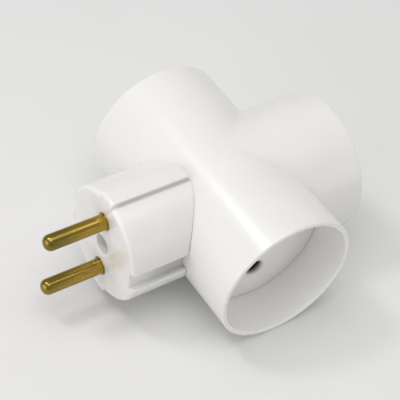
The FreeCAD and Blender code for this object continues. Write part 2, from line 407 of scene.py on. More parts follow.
@dataclass(frozen=True)
class RolledBrass:
    """Stamped or upset brass inside the housing: rolled grain with dull patches."""

    name: str
    bright: Colour = (0.70, 0.50, 0.19)
    dull: Colour = (0.42, 0.29, 0.10)
    grimy: Colour = (0.30, 0.20, 0.07)
    grain_depth: float = 0.002 * MM

    def made(self) -> bpy.types.Material:
        """Build the material."""
        desk = NodeDesk(self.name)
        grain = desk.noise(3800, 3, (1.0, 0.08, 1.0))
        patches = desk.noise(420, 3).between(0.40, 0.66)
        tone = desk.blend(patches * 0.8, self.bright, self.dull)
        tone = desk.blend(grain.between(0.4, 0.7) * 0.25, tone, self.grimy)
        rough = 0.24 + grain * 0.16 + patches * 0.12
        skin = desk.bump(grain, self.grain_depth)
        return desk.surface(Base_Color=tone, Metallic=1.0, Roughness=rough, Normal=skin)


@dataclass(frozen=True)
class ZincPlate:
    """Plated steel: cool grey with a faint crystal pattern and yellow passivation."""

    name: str
    plate: Colour = (0.50, 0.50, 0.47)
    tint: Colour = (0.46, 0.42, 0.30)
    crystals: float = 2600.0
    crystal_depth: float = 0.003 * MM

    def made(self) -> bpy.types.Material:
        """Build the material."""
        desk = NodeDesk(self.name)
        cells = desk.node(
            "ShaderNodeTexVoronoi", feeds={"Vector": desk.place, "Scale": self.crystals}
        )
        crystals = Field(desk, cells.outputs[0])
        patches = desk.noise(700, 3).between(0.40, 0.64)
        tone = desk.blend(patches, self.plate, self.tint)
        rough = 0.30 + crystals * 0.12 + patches * 0.10
        skin = desk.bump(crystals, self.crystal_depth)
        return desk.surface(Base_Color=tone, Metallic=1.0, Roughness=rough, Normal=skin)


@dataclass(frozen=True)
class MattMoulding:
    """Off-white plastic straight from a spark-worn mould, for what stays inside."""

    name: str
    tone: Colour = (0.66, 0.63, 0.56)
    shade: Colour = (0.58, 0.55, 0.48)
    pit_depth: float = 0.006 * MM

    def made(self) -> bpy.types.Material:
        """Build the material."""
        desk = NodeDesk(self.name)
        clouds = desk.noise(160, 3)
        pits = desk.noise(4200, 2)
        return desk.surface(
            Base_Color=desk.blend(clouds.between(0.35, 0.65), self.tone, self.shade),
            Roughness=0.48 + pits * 0.14,
            Normal=desk.bump(pits, self.pit_depth),
        )


@dataclass(frozen=True)
class PaleFloor:
    """The studio's sheet of pale paper."""

    name: str
    tone: Colour = (0.81, 0.81, 0.81)
    shade: Colour = (0.79, 0.79, 0.79)
    fibre_depth: float = 0.01 * MM

    def made(self) -> bpy.types.Material:
        """Build the material."""
        desk = NodeDesk(self.name)
        fibres = desk.noise(2200, 3)
        clouds = desk.noise(9, 2)
        return desk.surface(
            Base_Color=desk.blend(clouds.between(0.35, 0.65), self.tone, self.shade),
            Roughness=0.72 + fibres * 0.1,
            Normal=desk.bump(fibres, self.fibre_depth),
        )


def ends_of(edges: Iterable[BMEdge]) -> list[BMVert]:
    """The points of some edges, each once and in a steady order."""
    return list(dict.fromkeys(vert for edge in edges for vert in edge.verts))


def fold(rounding: float, parts: int) -> list[tuple[float, float, float]]:
    """The loops of a rounded edge.

    Args:
        rounding: Its radius.
        parts: The number of loops after the first.

    Returns:
        For each loop how far it lies before the end, how far it is drawn in, and how much of that
        is new.
    """
    turns = [math.pi / 2 * i / parts for i in range(parts + 1)]
    away = [rounding * (1 - math.sin(turn)) for turn in turns]
    drawn = [rounding * (1 - math.cos(turn)) for turn in turns]
    return [(away[i], drawn[i], drawn[i] - drawn[i - 1]) for i in range(1, parts + 1)]


def at(x: float, centre: Vector = Vector(), scale: float = 1.0) -> Place:
    """A move that brings a ring to x and scales it about a centre line along X.

    Args:
        x: Where the ring goes.
        centre: A point of the line that it is scaled about.
        scale: The new radius over the old one.

    Returns:
        The move, for Workbench.drawn.
    """
    return lambda p: Vector(
        (x, centre.y + (p.y - centre.y) * scale, centre.z + (p.z - centre.z) * scale)
    )


class Workbench:
    """One mesh that takes shape ring by ring along X, and then becomes a piece."""

    def __init__(self) -> None:
        """Start with nothing on the bench."""
        self.mesh = bmesh.new()

    def ring(
        self, x: float, radius: float, z: float = 0.0, segments: int = ROUND
    ) -> list[BMEdge]:
        """Lay a circle across the X axis.

        Args:
            x: Its place along X.
            radius: Its radius.
            z: Its centre's Z.
            segments: Its number of edges.

        Returns:
            Its edges.
        """
        spot = Matrix.Translation((x, 0, z)) @ ACROSS_X
        made = bmesh.ops.create_circle(
            self.mesh, cap_ends=False, segments=segments, radius=radius, matrix=spot
        )
        return self._edges_among(made["verts"])

    def window(self, x: float, y0: float, y1: float, z0: float, z1: float) -> list[BMEdge]:
        """Lay a rectangle across the X axis and return its edges."""
        spot = Matrix.Translation((x, (y0 + y1) / 2, (z0 + z1) / 2)) @ ACROSS_X
        size = Matrix.Diagonal((y1 - y0, z1 - z0, 1.0, 1.0))
        made = bmesh.ops.create_grid(
            self.mesh, x_segments=1, y_segments=1, size=0.5, matrix=spot @ size
        )
        edges = self._edges_among(made["verts"])
        bmesh.ops.delete(self.mesh, geom=list(edges[0].link_faces), context="FACES_ONLY")
        return edges

    @staticmethod
    def _edges_among(verts: Iterable[BMVert]) -> list[BMEdge]:
        """The edges that join some points."""
        chosen = dict.fromkeys(verts)
        edges = dict.fromkeys(edge for vert in chosen for edge in vert.link_edges)
        return [edge for edge in edges if all(end in chosen for end in edge.verts)]

    def arc(
        self, x: float, radius: float, start: float, end: float, parts: int
    ) -> tuple[BMVert, BMVert]:
        """Sweep a point about the X axis.

        Args:
            x: Its place along X.
            radius: Its distance from the axis.
            start: The first angle, in radians from Z towards Y.
            end: The last angle.
            parts: The number of edges between them.

        Returns:
            The first and the last point.
        """
        first = self.mesh.verts.new((x, radius * math.sin(start), radius * math.cos(start)))
        last = self._swept([first], start - end, parts, joined=False)
        return first, next(part for part in last if isinstance(part, BMVert))

    def _swept(self, geom: list[Any], angle: float, steps: int, joined: bool) -> Sequence[Any]:
        """Sweep points and edges about the X axis.

        Args:
            geom: The points and edges.
            angle: How far they go, in radians.
            steps: The number of steps on the way.
            joined: Whether the last step is joined to the first.

        Returns:
            The points and edges of the last step.
        """
        return bmesh.ops.spin(
            self.mesh,
            geom=geom,
            cent=(0, 0, 0),
            axis=(1, 0, 0),
            angle=angle,
            steps=steps,
            use_merge=joined,
            use_duplicate=False,
        )["geom_last"]

    def mirrored(self, *axes: str) -> None:
        """Mirror everything on the bench across each axis in turn, joined where it meets itself."""
        for axis in axes:
            geom = self.mesh.verts[:] + self.mesh.edges[:] + self.mesh.faces[:]
            bmesh.ops.mirror(self.mesh, geom=geom, matrix=Matrix(), merge_dist=WELD, axis=axis)
        self.welded()

    def drawn(self, edges: Sequence[BMEdge], *places: Place) -> list[BMEdge]:
        """Draw a loop out into further loops, one for each move.

        Args:
            edges: The loop to start from.
            *places: Where each further loop's points go, from the loop before it.

        Returns:
            The last loop.
        """
        for place in places:
            made = bmesh.ops.extrude_edge_only(self.mesh, edges=list(edges))["geom"]
            verts = [part for part in made if isinstance(part, BMVert)]
            for vert in verts:
                vert.co = place(vert.co)
            edges = self._edges_among(verts)
        return list(edges)

    def stepped(
        self,
        edges: Sequence[BMEdge],
        steps: Sequence[tuple[float, float]],
        radius: float,
        centre: Vector = Vector(),
    ) -> list[BMEdge]:
        """Draw a round loop out along a turned outline.

        Args:
            edges: The loop to start from.
            steps: Each further loop's x and radius.
            radius: The first loop's radius.
            centre: A point of the line that the outline is turned about.

        Returns:
            The last loop.
        """
        for x, wanted in steps:
            edges = self.drawn(edges, at(x, centre, wanted / radius))
            radius = wanted
        return list(edges)

    def covered(self, *loops: Sequence[BMEdge]) -> None:
        """Fill a flat face inside the first loop, with the other loops as its holes."""
        edges = [edge for loop in loops for edge in loop]
        made = bmesh.ops.triangle_fill(
            self.mesh, use_beauty=True, use_dissolve=False, edges=edges
        )
        faces = [part for part in made["geom"] if isinstance(part, BMFace)]
        for face in faces:
            face.material_index = FLAT

    def bridged(self, first: Sequence[BMEdge], second: Sequence[BMEdge]) -> None:
        """Close the space between two loops."""
        bmesh.ops.bridge_loops(self.mesh, edges=[*first, *second])

    def spun(
        self, outline: Sequence[tuple[float, float, float]], steps: int, parts: int = 1
    ) -> None:
        """Turn an outline once about the X axis.

        Args:
            outline: Its corners: x, radius and how far each is rounded.
            steps: The number of faces round the axis.
            parts: The number of segments of a rounded corner.
        """
        verts = [self.mesh.verts.new((x, 0.0, radius)) for x, radius, _ in outline]
        for pair in zip(verts, verts[1:]):
            self.mesh.edges.new(pair)
        for vert, (_, _, rounded) in zip(verts, outline):
            if rounded:
                self.rounded([vert], rounded, parts)
        geom = self.mesh.verts[:] + self.mesh.edges[:]
        self._swept(geom, 2 * math.pi, steps, joined=True)
        self.welded()

    def rounded(self, corners: Sequence[BMVert], rounding: float, parts: int) -> None:
        """Round some corners of an outline, by a radius and into a number of segments."""
        bmesh.ops.bevel(
            self.mesh,
            geom=list(corners),
            offset=rounding,
            offset_type="OFFSET",
            segments=parts,
            profile=0.5,
            affect="VERTICES",
            material=-1,
        )

    def welded(self) -> None:
        """Join points that lie together."""
        bmesh.ops.remove_doubles(self.mesh, verts=self.mesh.verts[:], dist=WELD)

    def rims(self, x: float) -> tuple[list[BMEdge], list[BMEdge]]:
        """The open edges on the low and the high side of a place along X, once welded."""
        self.welded()
        loose = [edge for edge in self.mesh.edges if edge.is_boundary]
        return [e for e in loose if e.verts[0].co.x < x], [e for e in loose if e.verts[0].co.x > x]

    def added(self, other: Workbench) -> None:
        """Take another bench's mesh over onto this one."""
        held = bpy.data.meshes.new("held")
        other.mesh.to_mesh(held)
        other.mesh.free()
        self.mesh.from_mesh(held)
        bpy.data.meshes.remove(held)

    def moved(self, matrix: Matrix) -> None:
        """Move everything on the bench."""
        bmesh.ops.transform(self.mesh, matrix=matrix, verts=self.mesh.verts[:])

    def closed(self, name: str) -> bpy.types.Object:
        """Turn the bench's mesh into an object with outward faces and crisp edges.

        Args:
            name: The object's name.

        Returns:
            The object, at the origin and in the scene.
        """
        self.welded()
        bmesh.ops.recalc_face_normals(self.mesh, faces=self.mesh.faces[:])
        for face in self.mesh.faces:
            face.smooth = face.material_index != FLAT
            face.material_index = 0
        open_edges = sum(not edge.is_manifold for edge in self.mesh.edges)
        data = bpy.data.meshes.new(name)
        self.mesh.to_mesh(data)
        self.mesh.free()
        data.set_sharp_from_angle(angle=SHARP)
        made = bpy.data.objects.new(name, data)
        bpy.context.scene.collection.objects.link(made)
        LOG.info("%s: %d faces, %d open edges", name, len(data.polygons), open_edges)
        return made


def carved(target: bpy.types.Object, cutter: bpy.types.Object) -> None:
    """Cut one object's space out of another, and drop the cutter.

    Args:
        target: The object that is cut.
        cutter: The closed object that says where.
    """
    cut = target.modifiers.new("cut", "BOOLEAN")
    cut.operation = "DIFFERENCE"
    cut.solver = "EXACT"
    cut.object = cutter
    graph = bpy.context.evaluated_depsgraph_get()
    carved_mesh = bpy.data.meshes.new_from_object(target.evaluated_get(graph))
    target.modifiers.remove(cut)
    plain, target.data = target.data, carved_mesh
    carved_mesh.name = target.name
    bpy.data.meshes.remove(plain)
    bpy.data.objects.remove(cutter)
    carved_mesh.set_sharp_from_angle(angle=SHARP)


def fitted(piece: bpy.types.Object, finish: bpy.types.Material, slot: Slot, *nodes: str) -> None:
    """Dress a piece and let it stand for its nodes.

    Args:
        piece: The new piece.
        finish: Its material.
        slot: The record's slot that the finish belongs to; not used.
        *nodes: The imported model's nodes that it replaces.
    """
    piece.data.materials.clear()
    piece.data.materials.append(finish)
    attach(piece, "root")
    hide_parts(*nodes)


@dataclass
class Housing:
    """The one-piece housing: three barrels with thin rims, soft where they run into each other.

    ring_places are the rings beside a crease, in millimetres from a straight sleeve's inner end. A
    barrel is pulled along itself from the last of them to rim_band before its rim. mouth_ring is a
    ring in the recess, behind the rim. The bore runs from bore_past behind the barrel to bore_end
    before the crossing.
    """

    barrel_radius: float = 22.0 * MM
    recess_radius: float = 20.5 * MM
    core_radius: float = 18.5 * MM
    bore_radius: float = 14.9 * MM
    rim_round: float = 0.6 * MM
    rim_parts: int = 7
    rim_band: float = 1.0 * MM
    mouth_ring: float = 2.0 * MM
    crease_band: float = 1.7 * MM
    ring_places: tuple[float, ...] = (0.0, 0.2, 0.4, 0.65, 0.95, 1.3, 1.7, 2.3, 3.1, 4.2)
    bore_past: float = 2.0 * MM
    bore_end: float = 8.0 * MM
    rub_and_highlight_reach: float = 0.8 * MM
    # The housing's inner tone is painted light: the inside of each outlet is made lighter.
    finish: GlossyMoulding = field(
        default_factory=lambda: GlossyMoulding("housing_white", inner=(0.91, 0.905, 0.89))
    )
    reaches: dict[Side, float] = field(
        default_factory=lambda: {Side.FRONT: 37.3 * MM, Side.LEFT: 36.0 * MM, Side.RIGHT: 36.0 * MM}
    )

    def build(self) -> None:
        """Make the housing and put it in the node's place."""
        body = Workbench()
        for side in Side:
            body.added(self.barrel(side))
        piece = body.closed("housing_shell")
        carved(piece, self.bore())
        # The outlets' insides get a painted lighter tone, and the rims wear with a painted edge
        # highlight.
        fitted(piece, self.finish.made(self.rim_wear_and_highlight, self.mouths), Slot.HOUSING, "housing")

    def wall_steps(self, reach: float) -> list[float]:
        """Where a barrel's outer rings lie: close beside the crease, then a millimetre apart."""
        last = self.ring_places[-1]
        count = round((reach - self.rim_round) / MM - last - self.rim_band / MM)
        step = (reach / MM - self.rim_band / MM - last) / count
        places = [*self.ring_places, *(last + step * (i + 1) for i in range(count))]
        return [place * MM for place in places]

    def barrel(self, side: Side) -> Workbench:
        """One barrel as a closed sleeve, its inner ends cut to meet the others.

        Args:
            side: The outlet that the barrel leads to.

        Returns:
            The bench with the barrel in its place.
        """
        reach, ledge = self.reaches[side], LEDGES[side]
        outline = [(a, self.barrel_radius, 0.0) for a in self.wall_steps(reach)]
        outline += [
            (reach, self.barrel_radius, self.rim_round),
            (reach, self.recess_radius, self.rim_round),
            (reach - self.mouth_ring, self.recess_radius, 0.0),
            ((reach + ledge) / 2, self.recess_radius, 0.0),
            (ledge, self.recess_radius, 0.0),
            (ledge, self.core_radius, 0.0),
            (0.0, self.core_radius, 0.0),
        ]
        bench = Workbench()
        bench.spun(outline, FINE, self.rim_parts)
        for vert in bench.mesh.verts:
            vert.co = self.mitred(vert.co, side)
        bench.moved(side.turn)
        return bench

    def mitred(self, point: Vector, side: Side) -> Vector:
        """Move a point of a straight sleeve to where the barrels meet, and soften the crease.

        Args:
            point: A point of the sleeve along X.
            side: The outlet that the sleeve leads to.

        Returns:
            The point's new place.
        """
        radius = math.hypot(point.y, point.z)
        outside = abs(radius - self.barrel_radius) < WELD
        inner_end = abs(radius - self.core_radius) < LOOSE and point.x < WELD
        runs_in = any(sign * point.y > 0 for sign in side.mitred)
        if not runs_in or not (outside or inner_end):
            return point
        near, far = self.ring_places[-1] * MM, self.reaches[side] - self.rim_band
        offset = point.x
        share = min(max((offset - near) / (far - near), 0.0), 1.0)
        moved = Vector((offset + abs(point.y) * (1 - share), point.y, point.z))
        if outside and offset < self.crease_band:
            sine, cosine = abs(point.y) / radius, point.z / radius
            lift = (self.crease_band - offset) ** 2 / (2 * self.crease_band)
            lift *= sine / (1 + cosine**2)
            moved += lift * Vector((abs(point.y), point.y, 2 * point.z)).normalized()
        return moved

    def bore(self) -> bpy.types.Object:
        """The plug of space through the back wall that the base's spigot fills."""
        bench = Workbench()
        radius, back, front = self.bore_radius, -self.barrel_radius - self.bore_past, -self.bore_end
        bench.spun([(back, 0, 0), (back, radius, 0), (front, radius, 0), (front, 0, 0)], FINE)
        bench.moved(Matrix.Translation(CROSSING))
        return bench.closed("bore")

    def mouths(self, desk: NodeDesk) -> Field:
        """Inside the outlets: painted light, a lighter tone over walls that stand in shade."""
        x, y, z = desk.axes()
        out = x - CROSSING.x
        wall = (self.recess_radius + self.barrel_radius) / 2
        walls = []
        for side, along, across in ((Side.LEFT, abs(y), out), (Side.FRONT, out, y)):
            radius = desk.maths("SQRT", across * across + z * z)
            depth = along.between(LEDGES[side], LEDGES[side] + 1.5 * MM)
            walls.append(radius.between(wall, wall - 0.4 * MM) * depth)
        return walls[0].most(walls[1])

    def rim_wear_and_highlight(self, desk: NodeDesk) -> Field:
        """Where hands and plugs wear the three rims, lightened also as a painted edge highlight."""
        x, y, _ = desk.axes()
        reach, front_reach = self.reaches[Side.LEFT], CROSSING.x + self.reaches[Side.FRONT]
        side = abs(y).between(reach - self.rub_and_highlight_reach, reach)
        front = x.between(front_reach - self.rub_and_highlight_reach, front_reach)
        return side.most(front) * desk.noise(420, 3).between(0.36, 0.60)


@dataclass
class PlugBase:
    """The round plug body: ribbed above and below, recessed at the sides, saddled onto the barrel.

    The rounded edges keep the ribs and recesses straight up to straight_half from their middle, and
    follow the round body from straight_fade beyond it. ring_places are the body's rings, in
    millimetres.
    """

    radius: float = 17.5 * MM
    face_round: float = 1.2 * MM
    saddle_radius: float = 22.1 * MM
    saddle_round: float = 0.35 * MM
    rib_half: float = 2.9 * MM
    rib_height: float = 1.6 * MM
    rib_end: float = 25.2 * MM
    rib_gap: float = 0.6 * MM
    side_half: float = 3.2 * MM
    side_floor: float = 15.1 * MM
    corner_round: float = 0.35 * MM
    straight_half: float = 3.6 * MM
    straight_fade: float = 4.0 * MM
    rib_parts: int = 4
    body_parts: int = 37
    corner_parts: int = 6
    ring_places: tuple[float, ...] = (1.6, 4.0, 8.0, 12.0, 16.0)
    spigot_radius: float = 14.8 * MM
    spigot_lead: float = 0.3 * MM
    hollow_radius: float = 13.2 * MM
    spigot_end: float = 28.0 * MM
    plate: float = 8.0 * MM
    pillar_radius: float = 5.0 * MM
    pillar_end: float = 27.0 * MM
    seat: float = 23.0 * MM
    recess_radius: float = 3.1 * MM
    screw_hole: float = 1.7 * MM
    pin_hole: float = 2.8 * MM
    finish: GlossyMoulding = field(default_factory=lambda: GlossyMoulding("base_white"))

    def build(self) -> None:
        """Make the base and put it in the node's place."""
        bench = Workbench()
        section = self.section(bench)
        bench.drawn(section, *self.face_fold())
        bench.drawn(section, *self.body_steps())
        face, saddle = bench.rims(self.plate)
        root = bench.ring(0, self.spigot_radius, segments=FINE)
        for vert in ends_of(root):
            vert.co.x = self.saddle_x(vert.co.z)
        bench.bridged(saddle, root)
        end = self.spigot_end
        spigot = [
            (end - self.spigot_lead, self.spigot_radius),
            (end, self.spigot_radius - self.spigot_lead),
            (end, self.hollow_radius),
            (self.plate, self.hollow_radius),
        ]
        hollow = bench.stepped(root, spigot, self.spigot_radius)
        pillar = bench.ring(self.plate, self.pillar_radius)
        mouths = [self.screw_recess(bench, pillar)]
        backs = []
        for pole in Pole:
            mouth, back = self.pin_passage(bench, pole)
            mouths.append(mouth)
            backs.append(back)
        bench.covered(hollow, pillar, *backs)
        bench.covered(face, *mouths)
        # The face edge wears with a painted highlight; the recesses and rib sides get painted
        # shade.
        finish = self.finish.made(self.face_wear_and_highlight, self.painted_recess_shade)
        fitted(bench.closed("plug_body"), finish, Slot.BASE, "plug_base")

    def section(self, bench: Workbench) -> list[BMEdge]:
        """The ribbed and recessed round section behind the face's rounded edge.

        Args:
            bench: Where the section is laid.

        Returns:
            The edges of its outline.
        """
        x, top = self.face_round, self.radius + self.rib_height
        _, rib_corner = bench.arc(x, top, 0.0, math.asin(self.rib_half / top), self.rib_parts)
        start = math.asin(self.rib_half / self.radius)
        end = math.acos(self.side_half / self.radius)
        rib_foot, mouth = bench.arc(x, self.radius, start, end, self.body_parts)
        floor = bench.mesh.verts.new((x, self.side_floor, self.side_half))
        middle = bench.mesh.verts.new((x, self.side_floor, 0.0))
        for pair in ((rib_corner, rib_foot), (mouth, floor), (floor, middle)):
            bench.mesh.edges.new(pair)
        bench.mirrored("Y", "Z")
        corners = [vert for vert in bench.mesh.verts if vert.calc_edge_angle(0.0) > SHARP]
        bench.rounded(corners, self.corner_round, self.corner_parts)
        return list(bench.mesh.edges)

    def held_in(self, along: Callable[[float], float], reach: float, step: float) -> Place:
        """A move that brings the section to a place along X and draws it in.

        Args:
            along: The place for a height above the axis.
            reach: The radius beside the ribs. The recesses' walls stay straight.
            step: How much nearer to the axis than before the ribs may come.

        Returns:
            The move.
        """

        def place(point: Vector) -> Vector:
            """Where a point of the section goes."""
            y, z = point.y, point.z
            radius = math.hypot(y, z)
            wanted = max(min(radius, reach), radius - step)
            if wanted < radius:
                low, high = sorted((abs(y), abs(z)))
                share = min(max((low - self.straight_half) / self.straight_fade, 0.0), 1.0)
                low *= 1 - (1 - wanted / radius) * share * share * (3 - 2 * share)
                high = math.sqrt(wanted**2 - low**2)
                across, up = (low, high) if abs(y) < abs(z) else (high, low)
                y, z = math.copysign(across, y), math.copysign(up, z)
            return Vector((along(z), y, z))

        return place

    def face_fold(self) -> list[Place]:
        """The rounded edge from the section to the face."""
        return [
            self.held_in(lambda z, x=away: x, self.radius - drawn, step)
            for away, drawn, step in fold(self.face_round, 8)
        ]

    def body_steps(self) -> list[Place]:
        """From the section to the ribs' rounded ends and on to the saddle's small round."""
        radius, height = self.radius, self.rib_height
        steps = [self.held_in(lambda z, x=x: x * MM, radius, 0.0) for x in self.ring_places]
        steps.append(self.held_in(self.rib_back(self.corner_round), radius, 0.0))
        for away, _, step in fold(self.corner_round, 4):
            steps.append(self.held_in(self.rib_back(away), radius, step))
        steps.append(self.held_in(self.rib_back(0.0), radius, height))
        steps.append(self.held_in(self.before_saddle(self.saddle_round), radius, height))
        for away, drawn, _ in fold(self.saddle_round, 5):
            steps.append(self.held_in(self.before_saddle(away), radius - drawn, height))
        return steps

    def rib_back(self, away: float) -> Callable[[float], float]:
        """Along X, a distance before the ribs' ends or, where that comes first, the saddle."""
        return lambda z: min(self.rib_end, self.saddle_x(z) - self.rib_gap) - away

    def before_saddle(self, away: float) -> Callable[[float], float]:
        """Along X, a distance before the saddle."""
        return lambda z: self.saddle_x(z) - away

    def saddle_x(self, z: float) -> float:
        """Where the saddle's surface is at a height."""
        return CROSSING.x - math.sqrt(self.saddle_radius**2 - z**2)

    def screw_recess(self, bench: Workbench, pillar: Sequence[BMEdge]) -> list[BMEdge]:
        """Run the pillar out and the screw's recess back through it to the face.

        Args:
            bench: The base's bench.
            pillar: The pillar's foot inside the base.

        Returns:
            The recess's mouth in the face.
        """
        steps = [
            (self.pillar_end, self.pillar_radius),
            (self.pillar_end, self.screw_hole),
            (self.seat, self.screw_hole),
            (self.seat, self.recess_radius),
            (0.3 * MM, self.recess_radius),
            (0.09 * MM, self.recess_radius + 0.06 * MM),
            (0.0, self.recess_radius + 0.25 * MM),
        ]
        return bench.stepped(pillar, steps, self.pillar_radius)

    def pin_passage(self, bench: Workbench, pole: Pole) -> tuple[list[BMEdge], list[BMEdge]]:
        """One hole through the plate.

        Args:
            bench: The base's bench.
            pole: Which pin it is for.

        Returns:
            Its mouth in the face and its end inside.
        """
        centre = Vector((0, 0, pole.height))
        back = bench.ring(self.plate, self.pin_hole, pole.height)
        steps = [
            (0.25 * MM, self.pin_hole),
            (0.07 * MM, self.pin_hole + 0.05 * MM),
            (0.0, self.pin_hole + 0.2 * MM),
        ]
        return bench.stepped(back, steps, self.pin_hole, centre), back

    def painted_recess_shade(self, desk: NodeDesk) -> Field:
        """Painted shade: darker in the side recesses towards the barrel, and in a line beside the
        ribs.
        """
        x, y, z = desk.axes()
        across, height = abs(y), abs(z)
        floor, top = self.side_floor, self.radius + self.rib_height
        recess = height.between(self.side_half + 0.4 * MM, self.side_half)
        recess = recess * across.between(self.radius - 0.4 * MM, floor + 0.3 * MM)
        recess = recess * across.between(floor - 0.5 * MM, floor - 0.2 * MM)
        recess = recess * x.between(2 * MM, 14 * MM) * 0.30
        flank = abs(across - self.rib_half).between(0.55 * MM, 0.1 * MM)
        flank = flank * height.between(top - 0.1 * MM, top - 0.9 * MM)
        flank = flank * height.between(self.radius - 1.3 * MM, self.radius - 0.6 * MM)
        return recess.most(flank * x.between(0.8 * MM, 3 * MM) * 0.28)

    def face_wear_and_highlight(self, desk: NodeDesk) -> Field:
        """Where the face's rounded edge rubs on sockets, lightened also as a painted edge
        highlight.
        """
        x, y, z = desk.axes()
        out = desk.maths("SQRT", y * y + z * z)
        rim = out.between(self.radius - 1.6 * MM, self.radius - 0.6 * MM)
        rim = rim * x.between(self.face_round, 0.2 * MM)
        return rim * desk.noise(380, 3).between(0.40, 0.62) * 0.6


@dataclass
class OutletFloors:
    """The disc at the bottom of each outlet, with its two pin holes, guide tubes, bead and key.

    lead_in is the outline of a pin hole's mouth: how far behind the face and how much wider than
    the hole, in millimetres. Behind painted_shade_from the hole is painted dark as shade, and from
    painted_shade_to on fully so.
    """

    recess_radius: float = 20.4 * MM
    thickness: float = 2.5 * MM
    edge_round: float = 0.4 * MM
    bead: float = 0.35 * MM
    hole: float = 2.75 * MM
    tube: float = 3.9 * MM
    lead_in: tuple[tuple[float, float], ...] = (
        (0.80, 0.0), (0.68, 0.02), (0.56, 0.10), (0.16, 0.52),
        (0.06, 0.64), (0.015, 0.76), (0.0, 0.90),
    )
    painted_shade_from: float = 0.9 * MM
    painted_shade_to: float = 2.4 * MM
    key_half: float = 1.5 * MM
    key_foot: float = -20.2 * MM
    key_top: float = -18.6 * MM
    key_length: float = 1.2 * MM
    peg_near: float = 7.5 * MM
    peg_far: float = 10.5 * MM
    peg_half: float = 2.5 * MM
    peg_length: float = 2.0 * MM
    boss: float = 3.6 * MM
    boss_end: float = -13.0 * MM
    pilot: float = 1.45 * MM
    pilot_end: float = 5.0 * MM
    # The floors' lighter tones are painted light that brightens the inside of each outlet.
    finish: GlossyMoulding = field(
        default_factory=lambda: GlossyMoulding(
            "floor_white", clean=(0.90, 0.895, 0.88), aged=(0.88, 0.87, 0.85), gloss=0.30
        )
    )
    guide_ends: dict[Side, float] = field(
        default_factory=lambda: {Side.FRONT: 16.3 * MM, Side.LEFT: 12.5 * MM, Side.RIGHT: 12.5 * MM}
    )

    def build(self) -> None:
        """Make the three floors and put each in its node's place."""
        # The pin holes are painted dark deeper in, as shade.
        material = self.finish.made(painted_light_mask=self.depth)
        for side in Side:
            bench = self.floor(side)
            bench.moved(side.turn)
            fitted(bench.closed(f"floor_{side.name.lower()}"), material, Slot.FLOOR, side.node)

    def depth(self, desk: NodeDesk) -> Field:
        """From 0 at a pin hole's mouth to 1 deep inside: painted shade, darker deeper into the
        hole.
        """
        x, y, _ = desk.axes()
        below = abs(y).most(x - CROSSING.x + (LEDGES[Side.LEFT] - LEDGES[Side.FRONT]))
        face = LEDGES[Side.LEFT] + self.thickness
        return below.between(face - self.painted_shade_from, face - self.painted_shade_to)

    def floor(self, side: Side) -> Workbench:
        """One floor along X.

        Args:
            side: The outlet that it closes.

        Returns:
            The bench with the floor, not yet turned to its side.
        """
        bench = Workbench()
        ledge = LEDGES[side]
        face = ledge + self.thickness
        middle = ledge + self.thickness / 2
        disc = bench.ring(ledge, self.recess_radius, segments=FINE)
        steps = [
            (middle - self.bead, self.recess_radius),
            (middle, self.recess_radius + self.bead),
            (middle + self.bead, self.recess_radius),
            (face - self.edge_round, self.recess_radius),
        ]
        steps += [
            (face - away, self.recess_radius - drawn) for away, drawn, _ in fold(self.edge_round, 5)
        ]
        front = bench.stepped(disc, steps, self.recess_radius)
        mouths, feet = [], [self.key(bench, ledge)]
        for pole in Pole:
            mouth, foot = self.pin_hole(bench, pole, ledge, face, self.guide_ends[side])
            mouths.append(mouth)
            feet.append(foot)
        if side is Side.FRONT:
            feet += [self.boss_foot(bench, ledge), *self.pegs(bench, ledge)]
        bench.covered(front, *mouths)
        bench.covered(disc, *feet)
        return bench

    def pin_hole(
        self, bench: Workbench, pole: Pole, ledge: float, face: float, guide_end: float
    ) -> tuple[list[BMEdge], list[BMEdge]]:
        """A hole with a rounded lead-in, and the tube behind it.

        Args:
            bench: The floor's bench.
            pole: Which pin it is for.
            ledge: The back of the disc.
            face: The front of the disc.
            guide_end: The end of the tube.

        Returns:
            The hole's mouth in the front and the tube's foot at the back.
        """
        centre = Vector((0, 0, pole.height))
        foot = bench.ring(ledge, self.tube, pole.height)
        steps = [(guide_end, self.tube), (guide_end, self.hole), (ledge, self.hole)]
        steps += [(face - behind * MM, self.hole + wider * MM) for behind, wider in self.lead_in]
        return bench.stepped(foot, steps, self.tube, centre), foot

    def key(self, bench: Workbench, ledge: float) -> list[BMEdge]:
        """The small block low behind the disc that stops it from turning."""
        foot = bench.window(ledge, -self.key_half, self.key_half, self.key_foot, self.key_top)
        bench.covered(bench.drawn(foot, at(ledge - self.key_length)))
        return foot

    def boss_foot(self, bench: Workbench, ledge: float) -> list[BMEdge]:
        """The long boss behind the front floor, with the screw's hole in its end."""
        foot = bench.ring(ledge, self.boss)
        steps = [
            (self.boss_end, self.boss),
            (self.boss_end, self.pilot),
            (self.pilot_end, self.pilot),
        ]
        bench.covered(bench.stepped(foot, steps, self.boss))
        return foot

    def pegs(self, bench: Workbench, ledge: float) -> list[list[BMEdge]]:
        """The two square pegs behind the front floor that hold the barrier."""
        feet = []
        for y0, y1 in ((-self.peg_far, -self.peg_near), (self.peg_near, self.peg_far)):
            foot = bench.window(ledge, y0, y1, -self.peg_half, self.peg_half)
            bench.covered(bench.drawn(foot, at(ledge - self.peg_length)))
            feet.append(foot)
        return feet


